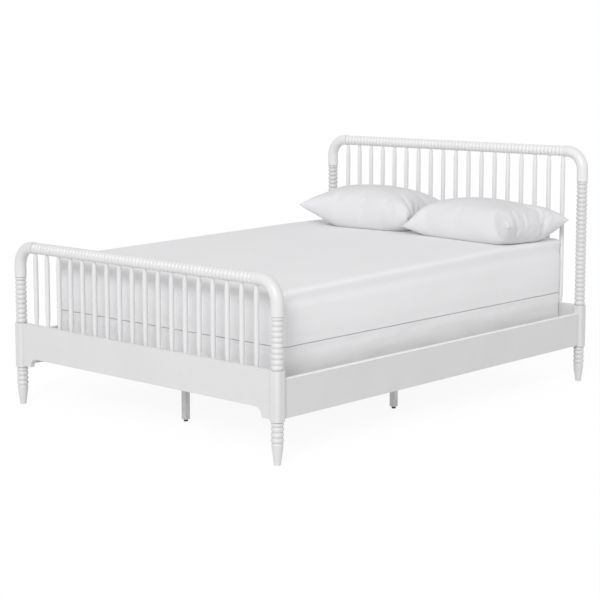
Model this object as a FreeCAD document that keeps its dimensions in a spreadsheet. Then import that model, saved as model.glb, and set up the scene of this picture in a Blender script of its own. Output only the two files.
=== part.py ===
import FreeCAD, Part
import math
import os
import Sketcher

V = FreeCAD.Vector

# Driving sizes of the bed, in millimetres. Left and right are seen from the foot end, looking at the head.
SIZES = {
    # overall layout, between the axes of the turned posts
    "post_span_width": 1566.0,
    "post_span_length": 2100.0,
    "foot_rail_height": 710.5,
    "head_rail_height": 1097.0,
    # turned work shared by posts and top rails
    "bead_diameter": 50.4,
    "groove_diameter": 39.0,
    "bead_pitch": 21.3,
    "end_ring_height": 15.0,
    "elbow_diameter": 52.6,
    "elbow_radius": 85.0,
    "elbow_drop_least": 50.0,
    "elbow_lead_least": 16.0,
    "elbow_end_rounding": 1.0,
    # square block in each post, and the turned leg below it
    "block_side": 51.0,
    "block_corner_radius": 16.0,
    "block_bottom": 167.0,
    "block_top": 368.0,
    "block_neck_diameter": 43.0,
    "block_shoulder_height": 14.0,
    "block_shoulder_swell": 2.4,
    "block_top_rounding": 1.5,
    "foot_height": 86.8,
    "foot_shoulder_height": 8.8,
    "foot_shoulder_swell": 1.4,
    "foot_top_diameter": 47.4,
    "foot_taper_swell": 0.4,
    "foot_bottom_diameter": 26.0,
    # panels between the blocks, with a coved bracket at each end
    "panel_thickness": 24.0,
    "panel_low_edge": 175.5,
    "panel_cove_radius": 39.0,
    "panel_bracket_length": 46.5,
    "panel_edge_rounding": 1.5,
    # spindles
    "spindle_count": 18.0,
    "spindle_diameter": 21.6,
    "spindle_neck_diameter": 14.0,
    "spindle_top_taper": 46.0,
    "spindle_bottom_taper": 56.0,
    "spindle_top_tenon": 10.0,
    "spindle_bottom_tenon": 15.0,
    # side rails and the cleats that carry the slats
    "side_rail_thickness": 24.0,
    "side_rail_bottom": 176.5,
    "side_rail_height": 153.5,
    "side_rail_edge_rounding": 2.0,
    "cleat_thickness": 24.0,
    "cleat_height": 20.0,
    "cleat_lift": 5.0,
    "cleat_end_gap": 60.0,
    "cleat_screw_margin": 80.0,
    # slats and centre legs
    "slat_width": 89.0,
    "slat_thickness": 20.0,
    "slat_end_gap": 2.0,
    "slat_inset": 234.5,
    "middle_leg_inset": 271.0,
    "leg_tube_side": 25.4,
    "leg_tube_wall": 1.5,
    "leg_floor_gap": 9.0,
    "leg_plate_side": 70.0,
    "leg_plate_thickness": 3.0,
    "plug_height": 18.0,
    "glide_diameter": 19.0,
    "glide_height": 7.5,
    "glide_stem_diameter": 8.0,
    "glide_stem_end_gap": 3.0,
    "glide_clearance": 0.3,
    "leg_screw_margin": 9.0,
    # fastening
    "dowel_diameter": 16.0,
    "dowel_length": 56.0,
    "dowel_clearance": 0.2,
    "dowel_end_gap": 1.0,
    "panel_dowel_diameter": 10.0,
    "panel_dowel_length": 44.0,
    "panel_dowel_inset": 38.0,
    "hook_plate_width": 16.0,
    "hook_plate_margin": 17.75,
    "hook_plate_thickness": 3.0,
    "hook_width": 3.0,
    "hook_reach": 12.0,
    "hook_height": 18.0,
    "hook_lip": 8.0,
    "hook_spacing": 54.0,
    "hook_clearance": 0.6,
    "screw_shank_diameter": 4.0,
    "screw_head_diameter": 8.0,
    "screw_head_height": 2.2,
    "screw_head_sink": 0.05,
    "plate_screw_length": 25.0,
    "cleat_screw_length": 36.0,
    "slat_screw_length": 32.0,
    "leg_screw_length": 16.0,
    "cleat_screw_count": 6.0,
    # bedding
    "seat_gap": 0.3,
    "mattress_side_gap": 93.0,
    "mattress_foot_gap": 120.2,
    "mattress_head_gap": 3.5,
    "mattress_corner_radius": 46.0,
    "box_spring_height": 199.0,
    "box_spring_rounding": 9.0,
    "mattress_height": 265.0,
    "mattress_top_rounding": 40.0,
    "mattress_bottom_rounding": 12.0,
    "pillow_width": 664.0,
    "pillow_depth": 446.0,
    "pillow_left_height": 208.0,
    "pillow_left_seam_height": 90.0,
    "pillow_left_yaw": 4.0,
    "pillow_right_height": 187.0,
    "pillow_right_seam_height": 70.0,
    "pillow_right_yaw": -3.0,
    "pillow_press": 48.0,
    "pillow_waist": 16.0,
    "pillow_tip_height": 24.0,
    "pillow_gap": 29.0,
    "pillow_pair_offset": 48.5,
    "pillow_head_gap": 41.0,
}

doc = FreeCAD.newDocument("spindle_bed")
sheet = doc.addObject("Spreadsheet::Sheet", "sizes")
for row, (alias, value) in enumerate(SIZES.items(), start=1):
    sheet.set(f"A{row}", str(value))
    sheet.setAlias(f"A{row}", alias)
doc.recompute()

parts = {}    # node name -> document object whose shape is written out


# ---------------------------------------------------------------- helpers

def number(formula):
    """Value of a formula over the sheet's aliases, such as '2*sizes.bead_pitch'."""
    return float(sheet.evalExpression(str(formula)))


def bind(target, **formulas):
    """Bind each named property of target to its formula; a double underscore stands for a dot."""
    for name, formula in formulas.items():
        target.setExpression(name.replace("__", "."), str(formula))


def place(target, x="0", y="0", z="0"):
    """Bind the position of target to three formulas."""
    for axis, formula in zip("xyz", (x, y, z)):
        target.setExpression(f"Placement.Base.{axis}", str(formula))


def new_body(name):
    body = doc.addObject("PartDesign::Body", name)
    body.Label = name
    return body


def origin_of(body, role):
    """Origin plane or axis of a body, such as XY_Plane or Z_Axis."""
    return next(item for item in body.Origin.OriginFeatures if item.Role == role)


def keep(name, item):
    """Register item as the sub-part called name."""
    item.Label = name
    parts[name] = item
    return item


def arc_radius(half_chord, rise):
    """Formula for the radius of an arc of a given half chord and rise."""
    return f"((({half_chord})^2 + ({rise})^2) / (2*({rise})))"


def arc_between(start, end, radius):
    """Circle arc from start to end, less than half a turn; a positive radius bulges to the right.

    Returns the arc, which always runs anticlockwise, and which of its ends (1 or 2) is at start.
    """
    chord = end - start
    side = V(-chord.y, chord.x, 0).normalize() * math.copysign(1, radius)
    centre = (start + end) / 2 + side * math.sqrt(max(radius ** 2 - chord.Length ** 2 / 4, 0.0))
    first, last = (start, end) if radius > 0 else (end, start)
    low = math.atan2(first.y - centre.y, first.x - centre.x)
    high = math.atan2(last.y - centre.y, last.x - centre.x)
    if high < low:
        high += 2 * math.pi
    arc = Part.ArcOfCircle(Part.Circle(centre, V(0, 0, 1), abs(radius)), low, high)
    return arc, 1 if radius > 0 else 2


def outline(body, name, plane, corners, lift=None):
    """Closed sketch on an origin plane of body, each corner held by formulas for its two coordinates.

    A corner is (x, y) or (x, y, radius): the radius, positive when it bulges to the right of the way
    round, is that of the arc that leads on to the next corner.
    """
    sketch = body.newObject("Sketcher::SketchObject", name)
    sketch.AttachmentSupport = [(origin_of(body, plane), "")]
    sketch.MapMode = "FlatFace"
    if lift is not None:
        sketch.setExpression("AttachmentOffset.Base.z", lift)
    spots = [V(number(corner[0]), number(corner[1]), 0) for corner in corners]
    starts = []
    for index, corner in enumerate(corners):
        here, there = spots[index], spots[(index + 1) % len(spots)]
        if len(corner) == 3:
            geometry, start = arc_between(here, there, number(corner[2]))
        else:
            geometry, start = Part.LineSegment(here, there), 1
        starts.append(start)
        sketch.addGeometry(geometry, False)
    for index, corner in enumerate(corners):
        before = index - 1 if index else len(corners) - 1
        end_before = 3 - starts[before]
        sketch.addConstraint(Sketcher.Constraint("Coincident", before, end_before, index, starts[index]))
    for index, corner in enumerate(corners):
        for kind, axis, formula in (("DistanceX", -2, corner[0]), ("DistanceY", -1, corner[1])):
            if str(formula) == "0":
                sketch.addConstraint(Sketcher.Constraint("PointOnObject", index, starts[index], axis))
                continue
            made = sketch.addConstraint(
                Sketcher.Constraint(kind, index, starts[index], number(formula)))
            sketch.setExpression(f"Constraints[{made}]", str(formula))
        if len(corner) == 3:
            made = sketch.addConstraint(
                Sketcher.Constraint("Radius", index, abs(number(corner[2]))))
            sketch.setExpression(f"Constraints[{made}]", f"abs({corner[2]})")
    return sketch


def feature(body, kind, name, **properties):
    made = body.newObject(f"PartDesign::{kind}", name)
    for key, value in properties.items():
        setattr(made, key, value)
    return made


def turned(body, name, corners, kind="Revolution"):
    """Turn an outline drawn on the XZ plane round the body's Z axis, adding or cutting."""
    sketch = outline(body, f"{name}_outline", "XZ_Plane", corners)
    made = feature(body, kind, name, Profile=sketch)
    made.ReferenceAxis = (origin_of(body, "Z_Axis"), [""])
    made.Angle = 360
    return made


def repeat(body, name, originals, axis, spacing, count):
    """Row of copies of some features along an origin axis of body."""
    row = feature(body, "LinearPattern", name, Originals=originals, Mode="Spacing")
    row.Direction = (origin_of(body, axis), [""])
    bind(row, Offset=spacing, Occurrences=count)
    body.Tip = row
    return row


def ring(body, name, bottom, height):
    """One turned bead, from groove to groove."""
    groove = "sizes.groove_diameter/2"
    bulge = arc_radius(f"({height})/2", "(sizes.bead_diameter - sizes.groove_diameter)/2")
    return turned(body, name, [
        ("0", bottom),
        (groove, bottom, bulge),
        (groove, f"{bottom} + {height}"),
        ("0", f"{bottom} + {height}"),
    ])


def block_of(body, kind, name, length, width, height, x="0", y="0", z="0"):
    """Box feature of body, added or cut, centred on x and y and standing on z."""
    made = feature(body, kind, name)
    bind(made, Length=length, Width=width, Height=height)
    place(made, f"{x} - ({length})/2", f"{y} - ({width})/2", z)
    return made


UP = FreeCAD.Rotation(V(0, 0, 1), 0)
DOWN = FreeCAD.Rotation(V(1, 0, 0), 180)
ALONG_X = FreeCAD.Rotation(V(0, 1, 0), 90)
AGAINST_X = FreeCAD.Rotation(V(0, 1, 0), -90)
ALONG_Y = FreeCAD.Rotation(V(1, 0, 0), -90)
AGAINST_Y = FreeCAD.Rotation(V(1, 0, 0), 90)


def rod(body, kind, name, diameter, length, turn, x="0", y="0", z="0"):
    """Cylinder feature of body, added or cut, that starts at x, y, z and runs the way turn points."""
    made = feature(body, kind, name)
    made.Placement = FreeCAD.Placement(V(0, 0, 0), turn)
    bind(made, Radius=f"({diameter})/2", Height=length)
    place(made, x, y, z)
    return made


def screw_hole(body, name, depth, turn, x="0", y="0", z="0"):
    """Blind pilot hole a little deeper than depth."""
    return rod(body, "SubtractiveCylinder", name, "sizes.screw_shank_diameter + sizes.dowel_clearance",
               f"{depth} + sizes.dowel_end_gap", turn, x, y, z)


def screw_seat(body, name, turn, x="0", y="0", z="0"):
    """Countersink for a screw's head."""
    seat = feature(body, "SubtractiveCone", name)
    seat.Placement = FreeCAD.Placement(V(0, 0, 0), turn)
    bind(seat, Radius1="(sizes.screw_head_diameter + sizes.dowel_clearance)/2",
         Radius2="(sizes.screw_shank_diameter + sizes.dowel_clearance)/2",
         Height="sizes.screw_head_height")
    place(seat, x, y, z)
    return seat


def screw(body, name, length, turn, x="0", y="0", z="0"):
    """Countersunk screw whose head starts at x, y, z and whose shank runs the way turn points."""
    shank = rod(body, "AdditiveCylinder", f"{name}_shank", "sizes.screw_shank_diameter", length, turn,
                x, y, z)
    head = feature(body, "AdditiveCone", f"{name}_head")
    head.Placement = FreeCAD.Placement(V(0, 0, 0), turn)
    bind(head, Radius1="sizes.screw_head_diameter/2", Radius2="sizes.screw_shank_diameter/2",
         Height="sizes.screw_head_height")
    place(head, x, y, z)
    return [shank, head]


def edges_where(shape, test):
    """Names of the edges of shape whose bounding box passes the test."""
    return [f"Edge{i}" for i, edge in enumerate(shape.Edges, start=1) if test(edge.BoundBox)]


def ease(body, name, radius, test):
    """Fillet the edges of the body's newest feature that pass the test."""
    doc.recompute()
    base = body.Tip
    made = feature(body, "Fillet", name, Base=(base, edges_where(base.Shape, test)))
    bind(made, Radius=radius)
    return made


def mirrored(name, source, normal):
    """Copy of source seen in a mirror through the origin."""
    made = doc.addObject("Part::Mirroring", name)
    made.Source = source
    made.Normal = normal
    return made


def moved(name, sources, x="0", y="0", z="0"):
    """Group of sources, moved together."""
    made = doc.addObject("Part::Compound", name)
    made.Links = sources
    place(made, x, y, z)
    return made


def near(value, target, slack=1e-4):
    return abs(value - target) < slack


# ---------------------------------------------------------------- shared places

HALF_WIDTH = "sizes.post_span_width/2"
HALF_LENGTH = "sizes.post_span_length/2"
BEAD_STACK = "(sizes.elbow_radius + sizes.elbow_drop_least + sizes.end_ring_height + sizes.block_top)"
BEADS_FOOT = f"floor((sizes.foot_rail_height - {BEAD_STACK})/sizes.bead_pitch)"
BEADS_HEAD = f"floor((sizes.head_rail_height - {BEAD_STACK})/sizes.bead_pitch)"
LEG_ROOM = "(sizes.block_bottom - sizes.foot_height - sizes.end_ring_height)"
BEADS_LEG = f"floor({LEG_ROOM}/sizes.bead_pitch)"
RAIL_ROOM = "(sizes.post_span_width - 2*sizes.elbow_radius - 2*sizes.elbow_lead_least)"
BEADS_RAIL = f"floor({RAIL_ROOM}/sizes.bead_pitch)"
RAIL_LENGTH = f"({BEADS_RAIL}*sizes.bead_pitch)"
DOWEL_HOLE = "(sizes.dowel_diameter + sizes.dowel_clearance)"
DOWEL_DEPTH = "(sizes.dowel_length/2 + sizes.dowel_end_gap)"
PANEL_DOWEL_HOLE = "(sizes.panel_dowel_diameter + sizes.dowel_clearance)"
PANEL_DOWEL_DEPTH = "(sizes.panel_dowel_length/2 + sizes.dowel_end_gap)"
PANEL_DOWEL_HEIGHTS = {"low": "(sizes.panel_low_edge + sizes.panel_dowel_inset)",
                       "high": "(sizes.block_top - sizes.panel_dowel_inset)"}
SPINDLES = "floor(sizes.spindle_count)"
SPINDLE_SPACING = f"(({RAIL_LENGTH} - sizes.spindle_neck_diameter)/({SPINDLES} - 1))"
FIRST_SPINDLE = f"(-({SPINDLES} - 1)/2*{SPINDLE_SPACING})"
HOOK_CENTRE = "(sizes.side_rail_bottom + sizes.side_rail_height/2)"
HOOK_PLATE_HEIGHT = "(sizes.side_rail_height - 2*sizes.hook_plate_margin)"
PLATE_SCREW_OFFSET = f"({HOOK_PLATE_HEIGHT}/2 - sizes.screw_head_diameter)"
SLAT_SEAT = "(sizes.side_rail_bottom + sizes.cleat_lift + sizes.cleat_height)"
SLAT_TOP = f"({SLAT_SEAT} + sizes.slat_thickness)"


def stack_top(beads):
    return f"(sizes.block_top + {beads}*sizes.bead_pitch + sizes.end_ring_height)"


def drop(beads, height):
    """Straight length of the elbow below its bend, which takes up what the whole beads leave."""
    return f"({height} - sizes.elbow_radius - {stack_top(beads)})"


INNER_BLOCK_FACE = f"({HALF_WIDTH} - sizes.block_side/2)"
LEAD = f"((sizes.post_span_width - {RAIL_LENGTH})/2 - sizes.elbow_radius)"


# ---------------------------------------------------------------- posts

def build_post(name, beads, bed_way):
    """Left post in one piece of wood: turned foot, leg beads, rounded-square block and bead stack.

    bed_way is +1 where the side rail leaves towards +Y, and -1 where it leaves towards -Y.
    """
    body = new_body(name)
    half, corner = "sizes.block_side/2", "sizes.block_corner_radius"
    flat = f"({half} - {corner})"
    section = outline(body, "block_section", "XY_Plane", [
        (f"-{flat}", f"-{half}"), (flat, f"-{half}", corner),
        (half, f"-{flat}"), (half, flat, corner),
        (flat, half), (f"-{flat}", half, corner),
        (f"-{half}", flat), (f"-{half}", f"-{flat}", corner),
    ], lift="sizes.block_bottom")
    block = feature(body, "Pad", "block", Profile=section)
    bind(block, Length="sizes.block_top - sizes.block_bottom")
    ease(body, "block_top_edge", "sizes.block_top_rounding",
         lambda box: near(box.ZMin, number("sizes.block_top")) and near(box.ZMax, box.ZMin))
    neck, rise = "sizes.block_neck_diameter/2", "sizes.block_shoulder_height"
    reach = f"({half} + {rise})"
    shoulder_chord = f"sqrt(({reach} - {neck})^2 + {rise}^2)"
    turned(body, "block_shoulder", [
        (neck, "sizes.block_bottom", arc_radius(f"{shoulder_chord}/2", "sizes.block_shoulder_swell")),
        (reach, f"sizes.block_bottom + {rise}"),
        (reach, "sizes.block_bottom"),
    ], kind="Groove")
    foot_top = "(sizes.foot_height - sizes.foot_shoulder_height)"
    foot_step = "(sizes.foot_top_diameter - sizes.groove_diameter)/2"
    foot_chord = f"sqrt(({foot_step})^2 + sizes.foot_shoulder_height^2)"
    turned(body, "foot", [
        ("0", "0"),
        ("sizes.foot_bottom_diameter/2", "0", arc_radius(f"{foot_top}/2", "sizes.foot_taper_swell")),
        ("sizes.foot_top_diameter/2", foot_top,
         arc_radius(f"{foot_chord}/2", "sizes.foot_shoulder_swell")),
        ("sizes.groove_diameter/2", "sizes.foot_height"),
        ("0", "sizes.foot_height"),
    ])
    leg_bead = ring(body, "leg_bead", "sizes.foot_height", "sizes.bead_pitch")
    repeat(body, "leg_beads", [leg_bead], "Z_Axis", "sizes.bead_pitch", BEADS_LEG)
    leg_ring = f"(sizes.foot_height + {BEADS_LEG}*sizes.bead_pitch)"
    ring(body, "leg_ring", leg_ring, f"(sizes.block_bottom - {leg_ring})")
    bead = ring(body, "bead", "sizes.block_top", "sizes.bead_pitch")
    repeat(body, "bead_stack", [bead], "Z_Axis", "sizes.bead_pitch", beads)
    ring(body, "end_ring", f"sizes.block_top + {beads}*sizes.bead_pitch", "sizes.end_ring_height")
    rod(body, "SubtractiveCylinder", "elbow_dowel_hole", DOWEL_HOLE, DOWEL_DEPTH, DOWN,
        z=stack_top(beads))
    for level, height in PANEL_DOWEL_HEIGHTS.items():
        rod(body, "SubtractiveCylinder", f"panel_dowel_hole_{level}", PANEL_DOWEL_HOLE,
            PANEL_DOWEL_DEPTH, AGAINST_X, x=half, z=height)
    cut_hook_seat(body, bed_way)
    place(body, f"-{HALF_WIDTH}", f"{-bed_way}*{HALF_LENGTH}")
    return body


def cut_hook_seat(body, bed_way):
    """Recess for the socket plate in the post's face, with a pocket behind each of its slots."""
    face = "sizes.block_side/2"
    plate = "sizes.hook_plate_thickness"
    block_of(body, "SubtractiveBox", "socket_recess", "sizes.hook_plate_width", plate,
             HOOK_PLATE_HEIGHT, y=f"{bed_way}*({face} - {plate}/2)",
             z=f"{HOOK_CENTRE} - {HOOK_PLATE_HEIGHT}/2")
    depth = "(sizes.hook_reach - sizes.hook_plate_thickness + 2*sizes.hook_clearance)"
    for index, way in enumerate((-1, 1)):
        block_of(body, "SubtractiveBox", f"hook_pocket_{index}",
                 "sizes.hook_width + 2*sizes.hook_clearance", depth,
                 "sizes.hook_height + 2*sizes.hook_lip + 4*sizes.hook_clearance",
                 y=f"{bed_way}*({face} - {plate} - {depth}/2)",
                 z=f"{HOOK_CENTRE} + {way}*sizes.hook_spacing/2"
                   " - sizes.hook_height/2 - sizes.hook_lip - 2*sizes.hook_clearance")
        screw_hole(body, f"socket_screw_hole_{index}", "sizes.plate_screw_length",
                   AGAINST_Y if bed_way > 0 else ALONG_Y, y=f"{bed_way}*({face} - {plate})",
                   z=f"{HOOK_CENTRE} + {way}*{PLATE_SCREW_OFFSET}")


# ---------------------------------------------------------------- elbows

def build_elbow(name, beads, height, bed_way):
    """Smooth left corner piece: a straight drop, a quarter bend and a short straight lead."""
    body = new_body(name)
    radius, fall = "sizes.elbow_radius", drop(beads, height)
    spine = body.newObject("Sketcher::SketchObject", "spine")
    spine.AttachmentSupport = [(origin_of(body, "XZ_Plane"), "")]
    spine.MapMode = "FlatFace"
    fall_now, radius_now, lead_now = number(fall), number(radius), number(LEAD)
    spine.addGeometry(Part.LineSegment(V(0, 0, 0), V(0, fall_now, 0)))
    bend_centre = Part.Circle(V(radius_now, fall_now, 0), V(0, 0, 1), radius_now)
    spine.addGeometry(Part.ArcOfCircle(bend_centre, math.pi / 2, math.pi))
    spine.addGeometry(Part.LineSegment(V(radius_now, fall_now + radius_now, 0),
                                       V(radius_now + lead_now, fall_now + radius_now, 0)))
    for rule in (("Coincident", 0, 1, -1, 1), ("Vertical", 0), ("Tangent", 0, 2, 1, 2),
                 ("Tangent", 1, 1, 2, 1), ("Horizontal", 2)):
        spine.addConstraint(Sketcher.Constraint(*rule))
    for rule, formula in ((("Distance", 0, fall_now), fall), (("Radius", 1, radius_now), radius),
                          (("Distance", 2, lead_now), LEAD)):
        made = spine.addConstraint(Sketcher.Constraint(*rule))
        spine.setExpression(f"Constraints[{made}]", formula)
    section = body.newObject("Sketcher::SketchObject", "section")
    section.AttachmentSupport = [(origin_of(body, "XY_Plane"), "")]
    section.MapMode = "FlatFace"
    section.addGeometry(Part.Circle(V(0, 0, 0), V(0, 0, 1), number("sizes.elbow_diameter/2")))
    section.addConstraint(Sketcher.Constraint("Coincident", 0, 3, -1, 1))
    made = section.addConstraint(Sketcher.Constraint("Radius", 0, number("sizes.elbow_diameter/2")))
    section.setExpression(f"Constraints[{made}]", "sizes.elbow_diameter/2")
    doc.recompute()
    feature(body, "AdditivePipe", "bend", Profile=section, Spine=spine)
    lead_end = number(f"{radius} + {LEAD}")
    ease(body, "end_edges", "sizes.elbow_end_rounding",
         lambda box: (near(box.ZMin, 0) and near(box.ZMax, 0))
         or (near(box.XMin, lead_end) and near(box.XMax, lead_end)))
    rod(body, "SubtractiveCylinder", "post_dowel_hole", DOWEL_HOLE, DOWEL_DEPTH, UP)
    rod(body, "SubtractiveCylinder", "rail_dowel_hole", DOWEL_HOLE, DOWEL_DEPTH, AGAINST_X,
        x=f"{radius} + {LEAD}", z=f"{fall} + {radius}")
    place(body, f"-{HALF_WIDTH}", f"{-bed_way}*{HALF_LENGTH}", stack_top(beads))
    return body


# ---------------------------------------------------------------- top rail, panel, spindles

def build_top_rail(name):
    """Beaded rail along Y=0, turned about its own axis, with blind holes for spindles and dowels."""
    body = new_body(name)
    bead = ring(body, "bead", "0", "sizes.bead_pitch")
    repeat(body, "beads", [bead], "Z_Axis", "sizes.bead_pitch", BEADS_RAIL)
    rod(body, "SubtractiveCylinder", "low_dowel_hole", DOWEL_HOLE, DOWEL_DEPTH, UP)
    rod(body, "SubtractiveCylinder", "high_dowel_hole", DOWEL_HOLE, DOWEL_DEPTH, DOWN, z=RAIL_LENGTH)
    floor_depth = "(sizes.groove_diameter/2 - sizes.spindle_top_tenon - sizes.dowel_end_gap)"
    hole = rod(body, "SubtractiveCylinder", "spindle_hole",
               "sizes.spindle_neck_diameter + sizes.dowel_clearance",
               f"sizes.bead_diameter - {floor_depth}", ALONG_X,
               x=floor_depth, z=f"{RAIL_LENGTH}/2 + {FIRST_SPINDLE}")
    repeat(body, "spindle_holes", [hole], "Z_Axis", SPINDLE_SPACING, SPINDLES)
    return body


def build_panel(name, bed_way):
    """Board between two blocks, with its lower edge raised between a coved bracket at each end."""
    body = new_body(name)
    end = INNER_BLOCK_FACE
    low, cove = "sizes.panel_low_edge", "sizes.panel_cove_radius"
    high = f"({low} + {cove})"
    foot = f"({end} - sizes.panel_bracket_length)"
    sketch = outline(body, "face", "XZ_Plane", [
        (f"-{end}", "sizes.block_top"),
        (f"-{end}", low),
        (f"-{foot}", low, f"-{cove}"),
        (f"-({foot} - {cove})", high),
        (f"{foot} - {cove}", high, f"-{cove}"),
        (foot, low),
        (end, low),
        (end, "sizes.block_top"),
    ])
    board = feature(body, "Pad", "board", Profile=sketch, SideType="Symmetric")
    bind(board, Length="sizes.panel_thickness")
    face = number("sizes.panel_thickness/2")
    ease(body, "long_edges", "sizes.panel_edge_rounding",
         lambda box: near(abs(box.YMin), face) and near(box.YMin, box.YMax)
         and box.XMax - box.XMin > face)
    hole = rod(body, "SubtractiveCylinder", "spindle_hole",
               "sizes.spindle_neck_diameter + sizes.dowel_clearance",
               "sizes.spindle_bottom_tenon + sizes.dowel_end_gap", DOWN,
               x=FIRST_SPINDLE, z="sizes.block_top")
    repeat(body, "spindle_holes", [hole], "X_Axis", SPINDLE_SPACING, SPINDLES)
    for level, height in PANEL_DOWEL_HEIGHTS.items():
        for side, way, turn in (("left", -1, ALONG_X), ("right", 1, AGAINST_X)):
            rod(body, "SubtractiveCylinder", f"dowel_hole_{side}_{level}", PANEL_DOWEL_HOLE,
                PANEL_DOWEL_DEPTH, turn, x=f"{way}*{end}", z=height)
    place(body, y=f"{-bed_way}*{HALF_LENGTH}")
    return body


def build_spindles(name, height, bed_way):
    """Row of slender turned spindles from the panel's top edge up into the rail."""
    body = new_body(name)
    thick, thin = "sizes.spindle_diameter/2", "sizes.spindle_neck_diameter/2"
    shoulder = f"({height} - sizes.bead_diameter/2)"
    bottom_end = "(sizes.block_top - sizes.spindle_bottom_tenon)"
    top_end = f"({height} - sizes.groove_diameter/2 + sizes.spindle_top_tenon)"
    swell = f"({thick} - {thin})"
    low_arc = arc_radius("sizes.spindle_bottom_taper", swell)
    high_arc = arc_radius("sizes.spindle_top_taper", swell)
    turned(body, "spindle", [
        ("0", bottom_end),
        (thin, bottom_end),
        (thin, "sizes.block_top", low_arc),
        (thick, "sizes.block_top + sizes.spindle_bottom_taper"),
        (thick, f"{shoulder} - sizes.spindle_top_taper", high_arc),
        (thin, shoulder),
        (thin, top_end),
        ("0", top_end),
    ])
    repeat(body, "row", [body.Tip], "X_Axis", SPINDLE_SPACING, SPINDLES)
    place(body, FIRST_SPINDLE, f"{-bed_way}*{HALF_LENGTH}")
    return body


ENDS = (("footboard", BEADS_FOOT, "sizes.foot_rail_height", 1),
        ("headboard", BEADS_HEAD, "sizes.head_rail_height", -1))
ACROSS = V(1, 0, 0)
LENGTHWISE = V(0, 1, 0)

rail_body = build_top_rail("top_rail_turning")

for end_name, beads, rail_height, bed_way in ENDS:
    post = keep(f"{end_name}_post_left", build_post(f"{end_name}_post_left", beads, bed_way))
    keep(f"{end_name}_post_right", mirrored(f"{end_name}_post_right", post, ACROSS))
    elbow = keep(f"{end_name}_elbow_left",
                 build_elbow(f"{end_name}_elbow_left", beads, rail_height, bed_way))
    keep(f"{end_name}_elbow_right", mirrored(f"{end_name}_elbow_right", elbow, ACROSS))
    rail = moved(f"{end_name}_top_rail", [rail_body])
    rail.Placement = FreeCAD.Placement(V(0, 0, 0), ALONG_X)
    place(rail, f"-{RAIL_LENGTH}/2", f"{-bed_way}*{HALF_LENGTH}", rail_height)
    keep(f"{end_name}_top_rail", rail)
    keep(f"{end_name}_panel", build_panel(f"{end_name}_panel", bed_way))
    keep(f"{end_name}_spindles", build_spindles(f"{end_name}_spindles", rail_height, bed_way))


# ---------------------------------------------------------------- side rails

RAIL_FACE = f"({HALF_LENGTH} - sizes.block_side/2)"
INNER_FACE = f"({HALF_WIDTH} - sizes.side_rail_thickness/2)"
CLEAT_LENGTH = f"(2*{RAIL_FACE} - 2*sizes.cleat_end_gap)"
CLEAT_X = f"({INNER_FACE} - sizes.cleat_thickness/2)"
CLEAT_FACE = f"({INNER_FACE} - sizes.cleat_thickness)"
CLEAT_CENTRE = "(sizes.side_rail_bottom + sizes.cleat_lift + sizes.cleat_height/2)"
CLEAT_SCREW_SPAN = f"({CLEAT_LENGTH} - 2*sizes.cleat_screw_margin)"
CLEAT_SCREWS = "floor(sizes.cleat_screw_count)"
CLEAT_SCREW_SPACING = f"({CLEAT_SCREW_SPAN}/({CLEAT_SCREWS} - 1))"
SLAT_OFFSET = f"({RAIL_FACE} - sizes.slat_inset)"
SLATS = (("foot", -1), ("middle", 0), ("head", 1))


def build_side_rail(name):
    """Left side rail, butted between the two posts, with a recess for a hook plate in each end."""
    body = new_body(name)
    block_of(body, "AdditiveBox", "board", "sizes.side_rail_thickness", f"2*{RAIL_FACE}",
             "sizes.side_rail_height", x=f"-{HALF_WIDTH}", z="sizes.side_rail_bottom")
    length = number(f"2*{RAIL_FACE}")
    ease(body, "long_edges", "sizes.side_rail_edge_rounding",
         lambda box: near(box.YMax - box.YMin, length, 0.01))
    plate = "sizes.hook_plate_thickness"
    for end, way in (("foot", -1), ("head", 1)):
        block_of(body, "SubtractiveBox", f"plate_recess_{end}", "sizes.hook_plate_width", plate,
                 HOOK_PLATE_HEIGHT, x=f"-{HALF_WIDTH}", y=f"{way}*({RAIL_FACE} - {plate}/2)",
                 z=f"{HOOK_CENTRE} - {HOOK_PLATE_HEIGHT}/2")
        for index, side in enumerate((-1, 1)):
            screw_hole(body, f"screw_hole_{end}_{index}", "sizes.plate_screw_length",
                       AGAINST_Y if way > 0 else ALONG_Y, x=f"-{HALF_WIDTH}",
                       y=f"{way}*({RAIL_FACE} - {plate})",
                       z=f"{HOOK_CENTRE} + {side}*{PLATE_SCREW_OFFSET}")
    hole = screw_hole(body, "cleat_screw_hole", "sizes.cleat_screw_length - sizes.cleat_thickness",
                      AGAINST_X, x=f"-{INNER_FACE}", y=f"-{CLEAT_SCREW_SPAN}/2", z=CLEAT_CENTRE)
    repeat(body, "cleat_screw_holes", [hole], "Y_Axis", CLEAT_SCREW_SPACING, CLEAT_SCREWS)
    return body


def build_cleat(name):
    """Left cleat, screwed along the inside of the side rail; the slats lie on it."""
    body = new_body(name)
    block_of(body, "AdditiveBox", "strip", "sizes.cleat_thickness", CLEAT_LENGTH, "sizes.cleat_height",
             x=f"-{CLEAT_X}", z="sizes.side_rail_bottom + sizes.cleat_lift")
    for slat, way in SLATS:
        screw_hole(body, f"slat_screw_hole_{slat}", "sizes.slat_screw_length - sizes.slat_thickness",
                   DOWN, x=f"-{CLEAT_X}", y=f"{way}*{SLAT_OFFSET}", z=SLAT_SEAT)
    first = {"x": f"-{CLEAT_FACE}", "y": f"-{CLEAT_SCREW_SPAN}/2", "z": CLEAT_CENTRE}
    hole = screw_hole(body, "screw_hole", "sizes.cleat_thickness", AGAINST_X, **first)
    seat = screw_seat(body, "screw_seat", AGAINST_X, **first)
    repeat(body, "screw_holes", [hole, seat], "Y_Axis", CLEAT_SCREW_SPACING, CLEAT_SCREWS)
    return body


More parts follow.
